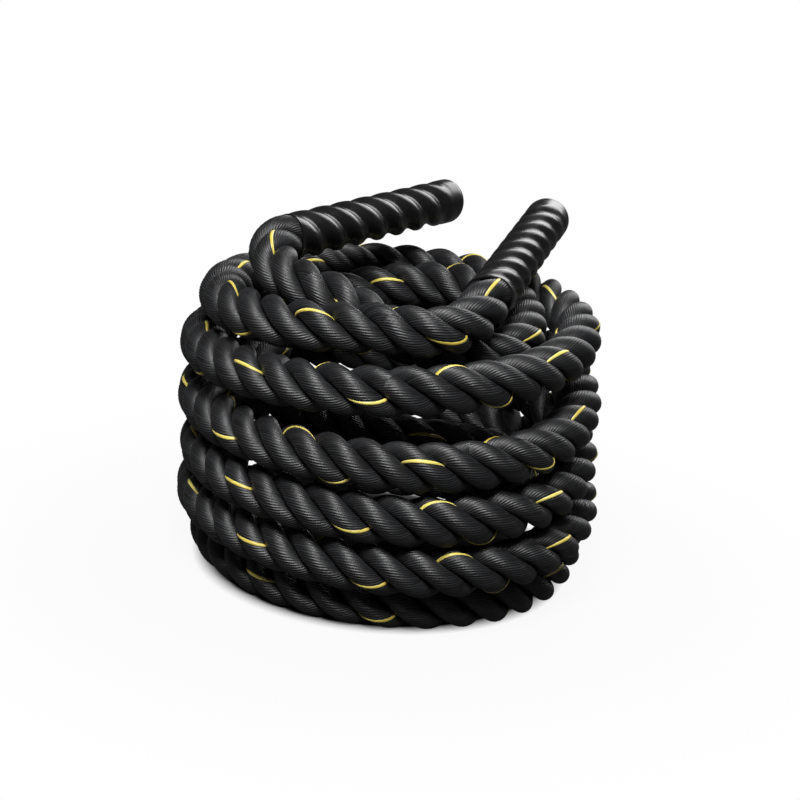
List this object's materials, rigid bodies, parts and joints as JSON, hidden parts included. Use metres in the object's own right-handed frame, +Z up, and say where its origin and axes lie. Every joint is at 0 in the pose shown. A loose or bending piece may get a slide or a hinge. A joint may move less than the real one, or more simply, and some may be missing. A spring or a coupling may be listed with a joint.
{
  "type": "battle rope",
  "caption": "Thick black laid training rope with yellow tracer yarns, coiled in a free-standing stack, with a ridged heat-shrink handle on each end",
  "frame": {"origin": "middle of the stack's outline, on the floor it stands on", "axes": "+Z up; -Y is the front, over which the rope's inner end crosses to handle A; +X is to the right seen from the front"},
  "size_m": [0.4534, 0.4614, 0.3792],
  "materials": {
    "rope": "matte spun polyester yarn with a few bright yellow tracer yarns",
    "heat_shrink": "satin heat-shrink sleeve",
    "end_tape": "dull vinyl tape"
  },
  "bodies": {
    "coil": {"rope_coil": "rope", "rope_crossing": "rope"},
    "end_a": {"rope_lead_a": "rope", "handle_a_sleeve": "heat_shrink", "handle_a_strand_1": "rope", "handle_a_strand_2": "rope", "handle_a_strand_3": "rope", "handle_a_tape": "end_tape"},
    "end_b": {"rope_lead_b": "rope", "handle_b_sleeve": "heat_shrink", "handle_b_strand_1": "rope", "handle_b_strand_2": "rope", "handle_b_strand_3": "rope", "handle_b_tape": "end_tape"}
  },
  "joints": [
    {"name": "lift_a", "type": "hinge", "parent": "coil", "child": "end_a", "pos_m": [-0.08432, -0.09566, 0.3175], "axis": [0.8039, -0.5948, 0], "range_deg": [0, 40], "deforming": ["rope_lead_a"]},
    {"name": "lift_b", "type": "hinge", "parent": "coil", "child": "end_b", "pos_m": [-0.00375, -0.17049, 0.30445], "axis": [0.9673, -0.2538, 0], "range_deg": [0, 40], "deforming": ["rope_lead_b"]}
  ]
}
